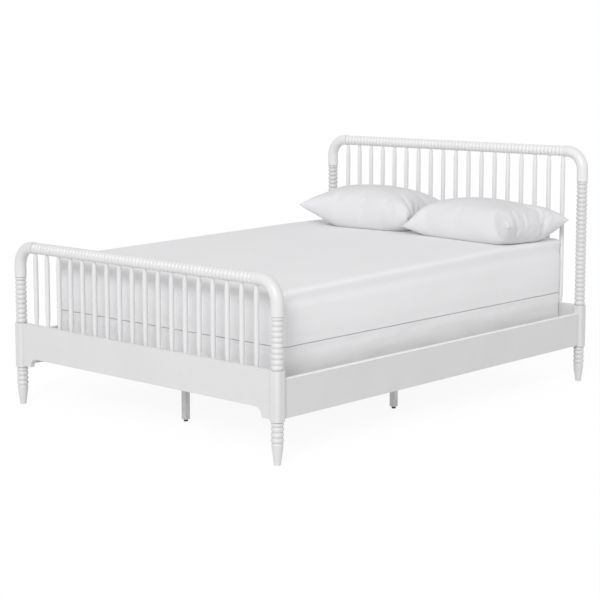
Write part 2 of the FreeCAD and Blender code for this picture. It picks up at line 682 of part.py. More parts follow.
def build_cleat_screws():
    """Row of screws through the left cleat into the side rail."""
    body = new_body("cleat_screw_row")
    first = screw(body, "first", "sizes.cleat_screw_length", AGAINST_X,
                  f"-{CLEAT_FACE}", f"-{CLEAT_SCREW_SPAN}/2", CLEAT_CENTRE)
    repeat(body, "row", first, "Y_Axis", CLEAT_SCREW_SPACING, CLEAT_SCREWS)
    return body


def plate_with_screw_seats(body, way, face):
    """Upright steel plate of the rail fastener, with two countersunk screw holes."""
    plate = "sizes.hook_plate_thickness"
    block_of(body, "AdditiveBox", "plate", "sizes.hook_plate_width", plate, HOOK_PLATE_HEIGHT,
             x=f"-{HALF_WIDTH}", y=f"{face} + {way}*{plate}/2",
             z=f"{HOOK_CENTRE} - {HOOK_PLATE_HEIGHT}/2")
    turn = ALONG_Y if way > 0 else AGAINST_Y
    for index, side in enumerate((-1, 1)):
        spot = {"x": f"-{HALF_WIDTH}", "y": face, "z": f"{HOOK_CENTRE} + {side}*{PLATE_SCREW_OFFSET}"}
        screw_hole(body, f"screw_hole_{index}", plate, turn, **spot)
        screw_seat(body, f"screw_seat_{index}", turn, **spot)


def build_hook_plate():
    """Plate let into the side rail's foot end, with two down-turned hooks that reach into the post."""
    body = new_body("hook_plate")
    face = f"(-{RAIL_FACE})"
    plate_with_screw_seats(body, 1, face)
    lip = "(sizes.hook_reach - sizes.hook_plate_thickness - sizes.hook_clearance)"
    for index, way in enumerate((-1, 1)):
        height = f"{HOOK_CENTRE} + {way}*sizes.hook_spacing/2 - sizes.hook_height/2"
        block_of(body, "AdditiveBox", f"hook_{index}", "sizes.hook_width", "sizes.hook_reach",
                 "sizes.hook_height", x=f"-{HALF_WIDTH}", y=f"{face} - sizes.hook_reach/2", z=height)
        block_of(body, "AdditiveBox", f"hook_lip_{index}", "sizes.hook_width", lip,
                 "sizes.hook_lip + sizes.hook_clearance", x=f"-{HALF_WIDTH}",
                 y=f"{face} - sizes.hook_reach + {lip}/2", z=f"{height} - sizes.hook_lip")
    return body


def build_hook_socket():
    """Plate let into the post's face, with a slot for each hook of the rail's plate."""
    body = new_body("hook_socket")
    face = f"(-{RAIL_FACE})"
    plate_with_screw_seats(body, -1, face)
    for index, way in enumerate((-1, 1)):
        block_of(body, "SubtractiveBox", f"slot_{index}", "sizes.hook_width + 2*sizes.hook_clearance",
                 "sizes.hook_plate_thickness",
                 "sizes.hook_height + sizes.hook_lip + 2*sizes.hook_clearance",
                 x=f"-{HALF_WIDTH}", y=f"{face} - sizes.hook_plate_thickness/2",
                 z=f"{HOOK_CENTRE} + {way}*sizes.hook_spacing/2 - sizes.hook_height/2")
    return body


def build_plate_screws():
    """Two screws through the rail's plate and two through the post's plate, at the left foot corner."""
    body = new_body("plate_screws")
    for part, side, turn in (("rail", 1, ALONG_Y), ("post", -1, AGAINST_Y)):
        for index, way in enumerate((-1, 1)):
            screw(body, f"{part}_{index}", "sizes.plate_screw_length", turn, f"-{HALF_WIDTH}",
                  f"-{RAIL_FACE} + {side}*sizes.screw_head_sink",
                  f"{HOOK_CENTRE} + {way}*{PLATE_SCREW_OFFSET}")
    return body


def keep_at_corners(name, source):
    """Node of one group of solids at each corner of the bed, mirrored from that at the left foot."""
    right = mirrored(f"{name}_foot_right", source, ACROSS)
    head_left = mirrored(f"{name}_head_left", source, LENGTHWISE)
    head_right = mirrored(f"{name}_head_right", right, LENGTHWISE)
    return keep(name, moved(name, [source, right, head_left, head_right]))


for build, node in ((build_side_rail, "side_rail"), (build_cleat, "rail_cleat")):
    left = keep(f"{node}_left", build(f"{node}_left"))
    keep(f"{node}_right", mirrored(f"{node}_right", left, ACROSS))
screw_row = build_cleat_screws()
keep("cleat_screws", moved("cleat_screws", [screw_row, mirrored("right_row", screw_row, ACROSS)]))
keep_at_corners("rail_hook_plates", build_hook_plate())
keep_at_corners("post_hook_sockets", build_hook_socket())
keep_at_corners("hook_plate_screws", build_plate_screws())


# ---------------------------------------------------------------- slats and centre legs

MIDDLE_LEG_OFFSET = f"({INNER_FACE} - sizes.middle_leg_inset)"
LEGS = (("foot", "0", f"-{SLAT_OFFSET}"),
        ("middle_left", f"-{MIDDLE_LEG_OFFSET}", "0"),
        ("middle_right", MIDDLE_LEG_OFFSET, "0"),
        ("head", "0", SLAT_OFFSET))
LEG_SCREW = "(sizes.leg_plate_side/2 - sizes.leg_screw_margin)"
LEG_TOP = f"({SLAT_SEAT} - sizes.leg_plate_thickness)"
LEG_BORE = "(sizes.leg_tube_side - 2*sizes.leg_tube_wall)"


def at_leg_screws(x="0", y="0"):
    """Places of the four screws round a leg that stands at x, y."""
    return [(f"{x} + {across}*{LEG_SCREW}", f"{y} + {along}*{LEG_SCREW}")
            for across in (-1, 1) for along in (-1, 1)]


def build_slat(name, way):
    """Cross slat from cleat to cleat, with screw holes over the cleats and above each leg."""
    body = new_body(name)
    row = f"{way}*{SLAT_OFFSET}"
    block_of(body, "AdditiveBox", "board", f"2*({INNER_FACE} - sizes.slat_end_gap)", "sizes.slat_width",
             "sizes.slat_thickness", y=row, z=SLAT_SEAT)
    for side, across in (("left", -1), ("right", 1)):
        spot = {"x": f"{across}*{CLEAT_X}", "y": row, "z": SLAT_TOP}
        screw_hole(body, f"end_hole_{side}", "sizes.slat_thickness", DOWN, **spot)
        screw_seat(body, f"end_seat_{side}", DOWN, **spot)
    for leg, leg_x, leg_y in LEGS:
        if near(number(leg_y), number(row)):
            for index, (x, y) in enumerate(at_leg_screws(leg_x, leg_y)):
                screw_hole(body, f"leg_hole_{leg}_{index}",
                           "sizes.leg_screw_length - sizes.leg_plate_thickness", UP, x, y, SLAT_SEAT)
    return body


def build_slat_screws():
    """Screws down through both ends of each slat into the cleats."""
    body = new_body("slat_screws")
    for slat, way in SLATS:
        for side, across in (("left", -1), ("right", 1)):
            screw(body, f"{slat}_{side}", "sizes.slat_screw_length", DOWN,
                  f"{across}*{CLEAT_X}", f"{way}*{SLAT_OFFSET}", SLAT_TOP)
    return body


def build_leg_tube():
    """Square steel tube of one centre leg, open at both ends."""
    body = new_body("leg_tube")
    height = f"{LEG_TOP} - sizes.leg_floor_gap"
    for kind, name, side in (("AdditiveBox", "tube", "sizes.leg_tube_side"),
                             ("SubtractiveBox", "bore", LEG_BORE)):
        block_of(body, kind, name, side, side, height, z="sizes.leg_floor_gap")
    return body


def build_leg_plate():
    """Square steel plate on top of a leg, with four countersunk holes."""
    body = new_body("leg_plate")
    block_of(body, "AdditiveBox", "plate", "sizes.leg_plate_side", "sizes.leg_plate_side",
             "sizes.leg_plate_thickness", z=LEG_TOP)
    for index, (x, y) in enumerate(at_leg_screws()):
        screw_hole(body, f"hole_{index}", "sizes.leg_plate_thickness", UP, x, y, LEG_TOP)
        screw_seat(body, f"seat_{index}", UP, x, y, LEG_TOP)
    return body


def build_leg_screws():
    body = new_body("leg_screw_set")
    for index, (x, y) in enumerate(at_leg_screws()):
        screw(body, f"screw_{index}", "sizes.leg_screw_length", UP, x, y, LEG_TOP)
    return body


def build_plug():
    """Plastic insert in the foot of a leg tube, bored for the glide's stem."""
    body = new_body("plug")
    side = f"{LEG_BORE} - sizes.dowel_clearance"
    block_of(body, "AdditiveBox", "insert", side, side, "sizes.plug_height", z="sizes.leg_floor_gap")
    rod(body, "SubtractiveCylinder", "stem_hole", "sizes.glide_stem_diameter + sizes.glide_clearance",
        "sizes.plug_height", UP, z="sizes.leg_floor_gap")
    return body


def build_glide():
    """Levelling glide: a round pad on the floor with a stem that screws up into the plug."""
    body = new_body("glide")
    rod(body, "AdditiveCylinder", "pad", "sizes.glide_diameter", "sizes.glide_height", UP)
    rod(body, "AdditiveCylinder", "stem", "sizes.glide_stem_diameter",
        "sizes.leg_floor_gap + sizes.plug_height - sizes.glide_stem_end_gap", UP)
    return body


for slat, way in SLATS:
    keep(f"slat_{slat}", build_slat(f"slat_{slat}", way))
keep("slat_screws", build_slat_screws())
tube, glide = build_leg_tube(), build_glide()
for leg, leg_x, leg_y in LEGS:
    keep(f"support_leg_{leg}", moved(f"support_leg_{leg}", [tube], leg_x, leg_y))
    keep(f"leveler_{leg}", moved(f"leveler_{leg}", [glide], leg_x, leg_y))
for node, build in (("leg_mount_plates", build_leg_plate), ("leg_plate_screws", build_leg_screws),
                    ("leg_end_plugs", build_plug)):
    source = build()
    keep(node, moved(node, [moved(f"{node}_{leg}", [source], x, y) for leg, x, y in LEGS]))


# ---------------------------------------------------------------- dowels

def build_dowel(name, diameter, length, turn):
    """Dowel centred on the origin."""
    body = new_body(name)
    way = turn.multVec(V(0, 0, 1))
    rod(body, "AdditiveCylinder", "stick", diameter, length, turn,
        *[f"{-part}*({length})/2" for part in way])
    return body


upright_dowel = build_dowel("upright_dowel", "sizes.dowel_diameter", "sizes.dowel_length", UP)
level_dowel = build_dowel("level_dowel", "sizes.dowel_diameter", "sizes.dowel_length", ALONG_X)
panel_dowel = build_dowel("panel_dowel", "sizes.panel_dowel_diameter", "sizes.panel_dowel_length",
                          ALONG_X)
corner_dowels, panel_dowels = [], []
for end_name, beads, rail_height, bed_way in ENDS:
    row = f"{-bed_way}*{HALF_LENGTH}"
    for side, across in (("left", -1), ("right", 1)):
        name = f"{end_name}_{side}"
        corner_dowels.append(moved(f"{name}_upright", [upright_dowel], f"{across}*{HALF_WIDTH}", row,
                                   stack_top(beads)))
        corner_dowels.append(moved(f"{name}_level", [level_dowel], f"{across}*{RAIL_LENGTH}/2", row,
                                   rail_height))
        for level, height in PANEL_DOWEL_HEIGHTS.items():
            panel_dowels.append(moved(f"{name}_{level}", [panel_dowel],
                                      f"{across}*{INNER_BLOCK_FACE}", row, height))
keep("corner_dowels", moved("corner_dowels", corner_dowels))
keep("panel_dowels", moved("panel_dowels", panel_dowels))


# ---------------------------------------------------------------- bedding

MATTRESS_LENGTH = ("(sizes.post_span_length - sizes.spindle_diameter"
                   " - sizes.mattress_foot_gap - sizes.mattress_head_gap)")
MATTRESS_MIDDLE = "(sizes.mattress_foot_gap - sizes.mattress_head_gap)/2"
BOX_BOTTOM = f"({SLAT_TOP} + sizes.seat_gap)"
MATTRESS_BOTTOM = f"({BOX_BOTTOM} + sizes.box_spring_height + sizes.seat_gap)"
PILLOW_BOTTOM = f"({MATTRESS_BOTTOM} + sizes.mattress_height + sizes.seat_gap)"


def build_stuffed_block(name, bottom, height, top_rounding, bottom_rounding):
    """Upholstered block with rounded corners, soft upper edges and tighter lower ones."""
    body = new_body(name)
    half_x, half_y = f"({HALF_WIDTH} - sizes.mattress_side_gap)", f"{MATTRESS_LENGTH}/2"
    corner = "sizes.mattress_corner_radius"
    flat_x, flat_y = f"({half_x} - {corner})", f"({half_y} - {corner})"
    plan = outline(body, "plan", "XY_Plane", [
        (f"-{flat_x}", f"-{half_y}"), (flat_x, f"-{half_y}", corner),
        (half_x, f"-{flat_y}"), (half_x, flat_y, corner),
        (flat_x, half_y), (f"-{flat_x}", half_y, corner),
        (f"-{half_x}", flat_y), (f"-{half_x}", f"-{flat_y}", corner),
    ])
    block = feature(body, "Pad", "block", Profile=plan)
    bind(block, Length=height)
    top = number(height)
    ease(body, "upper_edge", top_rounding, lambda box: near(box.ZMin, top))
    ease(body, "lower_edge", bottom_rounding, lambda box: near(box.ZMax, 0))
    place(body, y=MATTRESS_MIDDLE, z=bottom)
    return body


PILLOW_SECTIONS = 9


def build_pillow(name):
    """Stuffed pillow: lens-shaped sections, thickest in the middle, drawn in along the ends and sides.

    It is built about its own centre with the mattress top at z=0, and pressed flat below.
    """
    body = new_body(f"{name}_stuffing")
    height, seam = f"sizes.{name}_height", f"sizes.{name}_seam_height"
    tip = "sizes.pillow_tip_height/2"
    sections = []
    for index in range(PILLOW_SECTIONS):
        along = math.sin(math.pi * (index / (PILLOW_SECTIONS - 1) - 1 / 2))
        draw = round(1 - along ** 2, 4)
        swell = round(math.sqrt(1 - along ** 4), 4)
        half = f"(sizes.pillow_depth/2 - sizes.pillow_waist*{draw})"
        rise = f"({tip} + ({height} - {seam} - {tip})*{swell})"
        sink = f"({tip} + (sizes.pillow_press + {seam} - {tip})*{swell})"
        sections.append(outline(body, f"section_{index}", "YZ_Plane", [
            (f"-{half}", seam, arc_radius(half, sink)),
            (half, seam, arc_radius(half, rise)),
        ], lift=f"{round(along, 4)}*sizes.pillow_width/2"))
    doc.recompute()
    feature(body, "AdditiveLoft", "stuffing", Profile=sections[0], Sections=sections[1:])
    room = "2*sizes.pillow_width"
    block_of(body, "SubtractiveBox", "pressed_flat", room, room, height, z=f"-{height}")
    hollow = arc_radius("sizes.pillow_depth/2", "sizes.pillow_waist")
    for end, way in (("left", -1), ("right", 1)):
        rod(body, "SubtractiveCylinder", f"drawn_in_{end}", f"2*{hollow}", height, UP,
            x=f"{way}*(sizes.pillow_width/2 + {hollow} - sizes.pillow_waist)")
    return body


keep("box_spring", build_stuffed_block("box_spring", BOX_BOTTOM, "sizes.box_spring_height",
                                       "sizes.box_spring_rounding", "sizes.box_spring_rounding"))
keep("mattress", build_stuffed_block("mattress", MATTRESS_BOTTOM, "sizes.mattress_height",
                                     "sizes.mattress_top_rounding", "sizes.mattress_bottom_rounding"))
PILLOW_ROW = (f"({HALF_LENGTH} - sizes.spindle_diameter/2 - sizes.pillow_head_gap"
              " - sizes.pillow_depth/2)")
for side, way in (("left", -1), ("right", 1)):
    pillow = moved(f"pillow_{side}", [build_pillow(f"pillow_{side}")])
    bind(pillow, Placement__Rotation__Yaw=f"sizes.pillow_{side}_yaw")
    place(pillow, f"sizes.pillow_pair_offset + {way}*(sizes.pillow_width + sizes.pillow_gap)/2",
          PILLOW_ROW, PILLOW_BOTTOM)
    keep(f"pillow_{side}", pillow)


# ---------------------------------------------------------------- check and write

doc.recompute()
faults = [item.Label for item in doc.Objects if {"Invalid", "Error"} & set(item.State)]
for node, item in parts.items():
    shape = item.Shape
    if shape.isNull() or not shape.isValid() or not shape.Solids or shape.Volume <= 0:
        faults.append(node)
if faults:
    raise RuntimeError(f"these failed: {faults}")
os.makedirs("parts", exist_ok=True)
for node, item in parts.items():
    item.Shape.exportStep(f"parts/{node}.step")
    print(f"{node}: {len(item.Shape.Solids)} solids, {item.Shape.Volume / 1e3:.1f} cm3")
print(f"{len(parts)} nodes")
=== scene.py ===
import math

import bmesh
import bpy
from mathutils import Matrix, Vector, noise


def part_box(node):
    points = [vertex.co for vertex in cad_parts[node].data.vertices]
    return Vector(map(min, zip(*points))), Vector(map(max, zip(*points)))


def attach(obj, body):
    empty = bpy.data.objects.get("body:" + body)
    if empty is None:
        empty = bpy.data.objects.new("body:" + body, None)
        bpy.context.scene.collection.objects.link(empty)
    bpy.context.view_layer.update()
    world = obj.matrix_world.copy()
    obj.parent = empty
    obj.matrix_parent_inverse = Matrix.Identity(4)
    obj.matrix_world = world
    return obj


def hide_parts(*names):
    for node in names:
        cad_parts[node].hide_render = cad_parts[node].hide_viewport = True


# Metres. Origin on the floor midway between the posts, +X right as seen from the foot end,
# +Y to the head, +Z up. Left and right are as seen from the foot end.

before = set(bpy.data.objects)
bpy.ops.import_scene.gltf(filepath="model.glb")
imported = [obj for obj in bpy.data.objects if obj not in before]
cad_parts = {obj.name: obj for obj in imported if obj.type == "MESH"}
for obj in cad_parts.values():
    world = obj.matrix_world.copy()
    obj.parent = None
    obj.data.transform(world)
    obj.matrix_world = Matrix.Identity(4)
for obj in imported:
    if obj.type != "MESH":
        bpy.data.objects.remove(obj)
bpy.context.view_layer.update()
scene = bpy.context.scene


def link_object(name, data):
    """New object in the scene."""
    thing = bpy.data.objects.new(name, data)
    scene.collection.objects.link(thing)
    return thing


def aim(thing, target, azimuth, elevation, distance):
    """Place a camera or lamp at a distance from its target, turned to face it; the azimuth runs to
    the right from straight in front of the foot end."""
    back = Vector((math.sin(azimuth) * math.cos(elevation),
                   -math.cos(azimuth) * math.cos(elevation),
                   math.sin(elevation)))
    thing.location = target + back * distance
    thing.rotation_euler = back.to_track_quat("Z", "Y").to_euler()


# ---------------------------------------------------------------- camera

PHOTO_WIDTH = 600                    # pixels, and as many high
FOCAL_PIXELS = 1577.6                # focal length in pixels of the photograph
HORIZON_SHIFT = 60 / PHOTO_WIDTH     # optical axis above the frame's middle, as a share of it
CAMERA_TARGET = Vector((-0.0624, 0.0, 0.7036))
CAMERA_AZIMUTH = math.radians(42.501)
CAMERA_ELEVATION = math.radians(6.871)
CAMERA_DISTANCE = 7.2777
SENSOR = 36.0                        # millimetres
CLIP_END = 60


def add_camera():
    """Camera at the photograph's viewing angle, with verticals kept upright by a small shift."""
    camera = link_object("camera", bpy.data.cameras.new("camera"))
    aim(camera, CAMERA_TARGET, CAMERA_AZIMUTH, CAMERA_ELEVATION, CAMERA_DISTANCE)
    camera.data.sensor_width = SENSOR
    camera.data.lens = SENSOR * FOCAL_PIXELS / PHOTO_WIDTH
    camera.data.shift_y = -HORIZON_SHIFT
    camera.data.clip_end = CLIP_END
    scene.camera = camera


# ---------------------------------------------------------------- materials

def grey(value):
    """Opaque neutral colour."""
    return (value, value, value, 1.0)


def scaled(color, factor):
    """Lighter or darker copy of a colour."""
    return (*(min(1.0, factor * part) for part in color[:3]), 1.0)


class Nodes:
    """Short hand for building one material's node tree."""

    def __init__(self, name):
        self.material = bpy.data.materials.new(name)
        self.material.use_nodes = True
        self.tree = self.material.node_tree
        self.shader = self.tree.nodes["Principled BSDF"]
        self.place = self.add("ShaderNodeTexCoord").outputs["Object"]

    def add(self, kind, **values):
        """New node; each value goes to the socket of that name, or else to the node's setting."""
        node = self.tree.nodes.new(kind)
        for key, value in values.items():
            if key in node.inputs:
                node.inputs[key].default_value = value
            else:
                setattr(node, key, value)
        return node

    def join(self, source, target):
        self.tree.links.new(source, target)

    def stretch(self, scale):
        """Object coordinates, scaled along each axis."""
        mapping = self.add("ShaderNodeMapping", Scale=scale)
        self.join(self.place, mapping.inputs["Vector"])
        return mapping.outputs["Vector"]

    def cloud(self, scale, detail=3.0, vector=None):
        """Soft noise from 0 to 1."""
        cloud = self.add("ShaderNodeTexNoise", Scale=scale, Detail=detail)
        self.join(vector or self.place, cloud.inputs["Vector"])
        return cloud.outputs["Fac"]

    def ramp(self, source, low, high, start=0.3, end=0.7):
        """Colour from low to high as source goes from start to end."""
        ramp = self.add("ShaderNodeValToRGB")
        first, last = ramp.color_ramp.elements
        first.position, last.position = start, end
        first.color, last.color = low, high
        self.join(source, ramp.inputs["Fac"])
        return ramp.outputs["Color"]

    def mix(self, factor, one, two):
        """Mix of two colours; each value is a socket or a plain one."""
        mix = self.add("ShaderNodeMix", data_type="RGBA")
        for value, socket in ((factor, mix.inputs[0]), (one, mix.inputs[6]), (two, mix.inputs[7])):
            if isinstance(value, bpy.types.NodeSocket):
                self.join(value, socket)
            else:
                socket.default_value = value
        return mix.outputs[2]

    def range(self, source, low, high):
        """Source, from 0 to 1, mapped to low..high."""
        span = self.add("ShaderNodeMapRange")
        span.inputs["To Min"].default_value = low
        span.inputs["To Max"].default_value = high
        self.join(source, span.inputs["Value"])
        return span.outputs["Result"]

    def bump(self, height, distance, strength, under=None):
        """Normal with bumps as high as the distance, on top of another normal if one is given."""
        bump = self.add("ShaderNodeBump", Strength=strength, Distance=distance)
        self.join(height, bump.inputs["Height"])
        if under is not None:
            self.join(under, bump.inputs["Normal"])
        return bump.outputs["Normal"]

    def finish(self, color, roughness, normal=None, **sockets):
        """Set the shader, by sockets or plain values, and give the finished material."""
        for value, name in ((color, "Base Color"), (roughness, "Roughness"), (normal, "Normal")):
            if isinstance(value, bpy.types.NodeSocket):
                self.join(value, self.shader.inputs[name])
            elif value is not None:
                self.shader.inputs[name].default_value = value
        for name, value in sockets.items():
            self.shader.inputs[name.replace("_", " ")].default_value = value
        return self.material


def white_paint(name, white, top=None):
    """Satin sprayed paint: faint clouding, slight orange peel and softly worn gloss. Where top is
    given, faces that look up are painted that white: a painted highlight, standing in for the
    bright line of light along a side rail's upper edge."""
    n = Nodes(name)
    tint = n.ramp(n.cloud(5.0, 4.0), grey(0.982 * white), grey(1.018 * white))
    # Painted highlight: faces are painted lighter the more they look up, up to the top white.
    if top:
        parts = n.add("ShaderNodeSeparateXYZ")
        n.join(n.add("ShaderNodeNewGeometry").outputs["True Normal"], parts.inputs[0])
        tint = n.mix(n.ramp(parts.outputs["Z"], grey(0.0), grey(1.0)), tint, grey(top))
    peel = n.bump(n.cloud(420.0, 2.0), 0.00010, 0.3)
    brushed = n.bump(n.cloud(40.0, 2.0), 0.0003, 0.15, peel)
    return n.finish(tint, n.range(n.cloud(18.0), 0.30, 0.38), brushed,
                    Specular_IOR_Level=0.5, Coat_Weight=0.2, Coat_Roughness=0.14)


def bare_wood(name, tones, grain):
    """Planed wood in a light and a dark tone, with its grain along one axis (0 to 2)."""
    light, dark = tones
    n = Nodes(name)
    across = [16.0, 16.0, 16.0]
    across[grain] = 1.1
    fine = [130.0, 130.0, 130.0]
    fine[grain] = 4.0
    rings = n.add("ShaderNodeTexWave", Scale=1.6, Distortion=5.0, Detail=3.0)
    n.join(n.stretch(across), rings.inputs["Vector"])
    pores = n.cloud(1.0, 4.0, n.stretch(fine))
    bands = n.ramp(rings.outputs["Fac"], dark, light, 0.1, 0.9)
    tint = n.mix(n.range(pores, 0.0, 0.35), bands, dark)
    return n.finish(tint, n.range(pores, 0.5, 0.68), n.bump(pores, 0.0003, 0.5))


def metal(name, color, roughness, metallic=1.0, grain=300.0):
    """Plated or painted steel with a faint spangle."""
    n = Nodes(name)
    tint = n.ramp(n.cloud(grain * 0.2, 2.0), scaled(color, 0.86), color)
    return n.finish(tint, n.range(n.cloud(grain), roughness - 0.05, roughness + 0.08),
                    n.bump(n.cloud(grain * 2), 0.00008, 0.3), Metallic=metallic)


def plastic(name, color, roughness):
    """Moulded plastic with a fine matt texture."""
    n = Nodes(name)
    tint = n.ramp(n.cloud(60.0, 2.0), color, scaled(color, 1.5))
    return n.finish(tint, n.range(n.cloud(200.0), roughness, roughness + 0.1),
                    n.bump(n.cloud(900.0), 0.00006, 0.4))


def cotton(name, low, high, thread=0.0009):
    """Plain-woven cloth: crossing threads of the given spacing, with faint slubs."""
    n = Nodes(name)
    scale = 2 * math.pi / thread / 20    # at scale 1 the wave texture repeats 20 times in 2 pi
    threads = []
    for direction in ("X", "Y", "Z"):
        wave = n.add("ShaderNodeTexWave", Scale=scale, Distortion=0.6, Detail=1.0,
                     bands_direction=direction)
        n.join(n.place, wave.inputs["Vector"])
        threads.append(wave.outputs["Fac"])
    weave = n.mix(0.5, n.mix(0.5, threads[0], threads[1]), threads[2])
    slub = n.cloud(1.0, 3.0, n.stretch((60.0, 420.0, 420.0)))
    tint = n.mix(n.range(slub, 0.0, 0.5), n.ramp(n.cloud(3.0), low, high), low)
    return n.finish(tint, n.range(slub, 0.82, 0.94), n.bump(weave, 0.00008, 0.25),
                    Sheen_Weight=0.12, Sheen_Roughness=0.5, Specular_IOR_Level=0.2)


PINE_TONES = (0.60, 0.43, 0.25, 1), (0.47, 0.31, 0.16, 1)
BEECH_TONES = (0.58, 0.40, 0.24, 1), (0.45, 0.29, 0.16, 1)
SHEET_TONES = (0.86, 0.855, 0.87, 1), (0.89, 0.885, 0.90, 1)
PILLOW_TONES = (0.755, 0.75, 0.767, 1), (0.79, 0.785, 0.802, 1)
TICKING_TONES = (0.86, 0.855, 0.87, 1), (0.90, 0.895, 0.91, 1)
CORE_TONES = (0.72, 0.72, 0.715, 1), (0.77, 0.77, 0.765, 1)

PAINT = white_paint("white_paint", 0.70)
# Side rails: painted highlight, up-facing faces painted near white for the bright line of light
# along their upper edges.
RAIL_PAINT_PAINTED_HIGHLIGHT = white_paint("white_paint_side_rails_painted_highlight", 0.70, top=0.98)
# Turned parts: lighter copies of the same white paint, painted light standing in for the stronger
# light that falls on them, more on the headboard.
FOOT_TURNINGS_PAINTED_LIGHT = white_paint("white_paint_footboard_turnings_painted_light", 0.735)
HEAD_TURNINGS_PAINTED_LIGHT = white_paint("white_paint_headboard_turnings_painted_light", 0.81)
PINE = bare_wood("pine_across", PINE_TONES, grain=0)
PINE_LONG = bare_wood("pine_along", PINE_TONES, grain=1)
BEECH = bare_wood("beech", BEECH_TONES, grain=0)
ZINC = metal("zinc", (0.62, 0.62, 0.60, 1), 0.34)
HOOK_STEEL = metal("hook_steel", (0.52, 0.53, 0.54, 1), 0.4)
LEG_PAINT = metal("leg_paint", (0.61, 0.608, 0.62, 1), 0.36, metallic=0.6)
BLACK = plastic("black_plastic", (0.022, 0.022, 0.023, 1), 0.45)
SHEET_COTTON = cotton("sheet_cotton", *SHEET_TONES)
PILLOW_COTTON = cotton("pillow_cotton", *PILLOW_TONES)
TICKING = cotton("ticking", *TICKING_TONES, thread=0.0013)
CORE_TICKING = cotton("mattress_ticking", *CORE_TONES, thread=0.0016)


def material_of(name):
    """Material of a CAD node."""
    if name.startswith(("slat_foot", "slat_middle", "slat_head")):
        return PINE
    if name.startswith("rail_cleat"):
        return PINE_LONG
    if "dowel" in name:
        return BEECH
    if "screw" in name:
        return ZINC
    if name in ("rail_hook_plates", "post_hook_sockets"):
        return HOOK_STEEL
    if name.startswith(("support_leg", "leg_mount")):
        return LEG_PAINT
    if name.startswith(("leveler", "leg_end")):
        return BLACK
    # Turned parts take the lighter copies of the paint: painted light.
    if name.endswith(("top_rail", "spindles", "elbow_left", "elbow_right")):
        return HEAD_TURNINGS_PAINTED_LIGHT if name.startswith("headboard") else FOOT_TURNINGS_PAINTED_LIGHT
    return RAIL_PAINT_PAINTED_HIGHLIGHT if name.startswith("side_rail") else PAINT


def dress_nodes():
    """Give every CAD node its material."""
    for name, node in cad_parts.items():
        slots = node.data.materials
        slots.clear()
        slots.append(material_of(name))


# ---------------------------------------------------------------- helpers for soft pieces

def new_piece(name, mesh, material, body):
    """Link a finished bmesh as a smooth-shaded piece of the bed."""
    data = bpy.data.meshes.new(name)
    mesh.to_mesh(data)
    mesh.free()
    data.shade_smooth()
    piece = link_object(name, data)
    piece.data.materials.append(material)
    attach(piece, body)
    return piece


def apply_modifiers(piece):
    """Turn a piece's modifiers into its mesh."""
    seen = bpy.context.evaluated_depsgraph_get()
    mesh = bpy.data.meshes.new_from_object(piece.evaluated_get(seen))
    piece.modifiers.clear()
    piece.data = mesh


def thicken(piece, thickness):
    """Give a cloth surface its thickness, half to each side."""
    shell = piece.modifiers.new("thickness", "SOLIDIFY")
    shell.thickness, shell.offset = thickness, 0.0
    apply_modifiers(piece)


def clamp(value, low, high):
    return min(max(value, low), high)


def ease(value):
    """0 to 1 with soft ends."""
    value = clamp(value, 0.0, 1.0)
    return value * value * (3 - 2 * value)


def rise(value, start, length):
    """0 up to the start, then softly up to 1 over the length."""
    return ease((value - start) / length)


def near(distance, reach):
    """1 at no distance, falling softly to 0 at reach."""
    return ease(1 - distance / reach)


def hump(value, middle, reach):
    """1 at the middle, falling softly to 0 at reach to either side."""
    return near(abs(value - middle), reach)


def wave(x, y, z, scale, seed):
    """Smooth noise from about -1 to 1, with features of about scale metres on each axis."""
    return noise.noise(Vector((x / scale[0] + seed, y / scale[1] - seed, z / scale[2] + 2 * seed)))


# ---------------------------------------------------------------- rounded blocks

TINY = 1e-9
BLOCK_STEP = 0.020                   # spacing of a block's points along its sides
BLOCK_RISE = 0.014                   # and up its height
PLAN_ARC, EDGE_ARC = 6, 5            # quads round an upright corner and over a rounded edge


def stations(low, high, first, last, step, arc):
    """Grid lines from low to high, closer together over rounded ends of lengths first and last."""
    fan = [1 - math.tan(math.pi / 4 * (1 - k / arc)) for k in range(arc + 1)]
    run = high - last - low - first
    count = round(run / step)
    plain = [low + first + run * k / count for k in range(1, count)]
    return [low + first * f for f in fan] + plain + [high - last * f for f in reversed(fan)]


